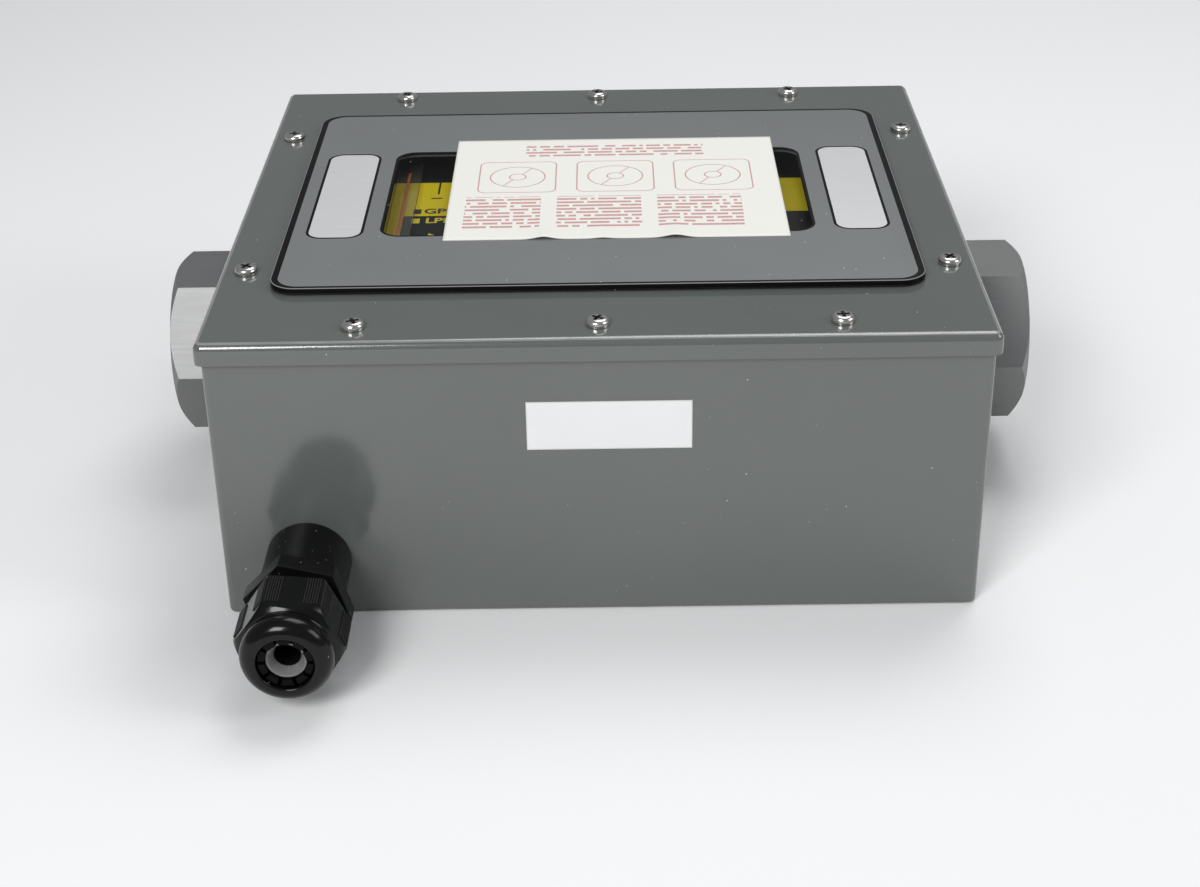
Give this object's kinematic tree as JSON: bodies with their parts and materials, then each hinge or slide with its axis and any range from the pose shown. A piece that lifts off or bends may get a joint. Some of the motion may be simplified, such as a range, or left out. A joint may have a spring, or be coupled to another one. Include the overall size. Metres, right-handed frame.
{
  "type": "variable area flow switch",
  "caption": "Variable area flow switch: grey sheet-metal case with a clear scale window in its screwed lid, in-line pipe ports, a set-point snap switch and a cable gland.",
  "frame": {"origin": "middle of the case's back face, on which the switch lies", "axes": "+X along the flow from inlet to outlet, +Y away from the cable gland's wall, +Z out of the window"},
  "size_m": [0.31, 0.2966, 0.1039],
  "materials": {
    "case_paint": "mid grey semi-gloss powder coat",
    "bright_screws": "bright nickel plated steel",
    "plated_steel": "zinc plated steel",
    "clear_panel": "clear polycarbonate, polished",
    "panel_print": "back-printed film, grey with black outlines",
    "black_rubber": "black closed-cell rubber",
    "paper": "uncoated off-white paper card",
    "white_label": "matt white label tape",
    "tube_aluminium": "turned aluminium, clear anodised",
    "scale_print": "painted aluminium, yellow and black",
    "magnet": "ferrite, as fired",
    "black_nylon": "moulded black nylon, semi-gloss",
    "carriage_plastic": "moulded black acetal",
    "clear_arm": "clear acrylic with a red hairline",
    "pointer_red": "red enamel",
    "switch_case": "dark phenolic",
    "switch_button": "red moulded nylon",
    "contact_brass": "bare brass",
    "grey_seal": "pale grey soft rubber"
  },
  "bodies": {
    "enclosure": {"case_floor": "case_paint", "front_wall": "case_paint", "rear_wall": "case_paint", "side_walls": "case_paint", "case_flange": "case_paint", "weld_nuts": "plated_steel", "blank_label": "white_label", "flow_tube": "tube_aluminium", "inlet_port": "tube_aluminium", "outlet_port": "tube_aluminium", "port_o_rings": "black_rubber", "inlet_grommet": "black_rubber", "outlet_grommet": "black_rubber", "inlet_spider": "tube_aluminium", "outlet_spider": "tube_aluminium", "metering_cone": "tube_aluminium", "return_spring": "plated_steel", "inlet_bracket": "plated_steel", "outlet_bracket": "plated_steel", "floor_studs": "plated_steel", "floor_nuts": "plated_steel", "guide_rod": "plated_steel", "setpoint_rail": "plated_steel", "rod_clips": "plated_steel", "scale_plate": "scale_print", "scale_screws": "plated_steel", "terminal_strip": "switch_case", "terminal_screws": "contact_brass", "gland_hub": "black_nylon", "hub_washer": "black_rubber", "hub_locknut": "plated_steel", "gland_body": "black_nylon", "gland_claw": "black_nylon", "gland_seal": "grey_seal"},
    "lid": {"lid": "case_paint", "lid_gasket": "black_rubber", "lid_screws": "bright_screws", "window_seal": "black_rubber", "face_overlay": "panel_print", "window_panel": "clear_panel", "blank_card": "paper"},
    "piston": {"piston": "tube_aluminium", "piston_magnet": "magnet"},
    "follower": {"follower_carriage": "carriage_plastic", "follower_magnet": "magnet", "indicator_arm": "clear_arm", "arm_screw": "plated_steel"},
    "setpoint": {"setpoint_carriage": "carriage_plastic", "set_pointer": "pointer_red", "switch_body": "switch_case", "lever_pin": "plated_steel", "switch_blades": "contact_brass", "switch_screws": "plated_steel"},
    "thumb_screw": {"thumb_screw": "contact_brass"},
    "switch_lever": {"switch_lever": "plated_steel", "roller_pin": "plated_steel"},
    "lever_roller": {"lever_roller": "black_nylon"},
    "switch_plunger": {"switch_plunger": "switch_button"},
    "gland_nut": {"gland_nut": "black_nylon"}
  },
  "joints": [
    {"name": "lid_lift", "type": "slide", "parent": "enclosure", "child": "lid", "axis": [0, 0, 1], "range_m": [0, 0.15]},
    {"name": "piston_travel", "type": "slide", "parent": "enclosure", "child": "piston", "axis": [1, 0, 0], "range_m": [0, 0.115], "stiffness_N_per_m": 150, "springref_m": -0.02, "deforming": ["return_spring"]},
    {"name": "follower_travel", "type": "slide", "parent": "enclosure", "child": "follower", "axis": [1, 0, 0], "range_m": [0, 0.115]},
    {"name": "setpoint_slide", "type": "slide", "parent": "enclosure", "child": "setpoint", "axis": [1, 0, 0], "range_m": [-0.058, 0.052]},
    {"name": "thumb_screw_turn", "type": "hinge", "parent": "setpoint", "child": "thumb_screw", "pos_m": [0.0205, -0.062, 0.07], "axis": [0, 0, 1], "continuous": true},
    {"name": "lever_swing", "type": "hinge", "parent": "setpoint", "child": "switch_lever", "pos_m": [0.0115, -0.0503, 0.0741], "axis": [0, 0, 1], "range_deg": [0, 5], "stiffness_Nm_per_rad": 0.02, "springref_deg": -5.73},
    {"name": "roller_spin", "type": "hinge", "parent": "switch_lever", "child": "lever_roller", "pos_m": [-0.015, -0.0463, 0.0741], "axis": [0, 0, 1], "continuous": true},
    {"name": "plunger_press", "type": "slide", "parent": "setpoint", "child": "switch_plunger", "axis": [0, -1, 0], "range_m": [0, 0.0008]},
    {"name": "gland_nut_turn", "type": "hinge", "parent": "enclosure", "child": "gland_nut", "pos_m": [-0.0966, -0.165, 0.0212], "axis": [0, -1, 0], "continuous": true}
  ],
  "couplings": [
    {"joint": "follower_travel", "follows": "piston_travel", "ratio": 1},
    {"joint": "plunger_press", "follows": "lever_swing", "m_per_rad": 0.0075}
  ]
}
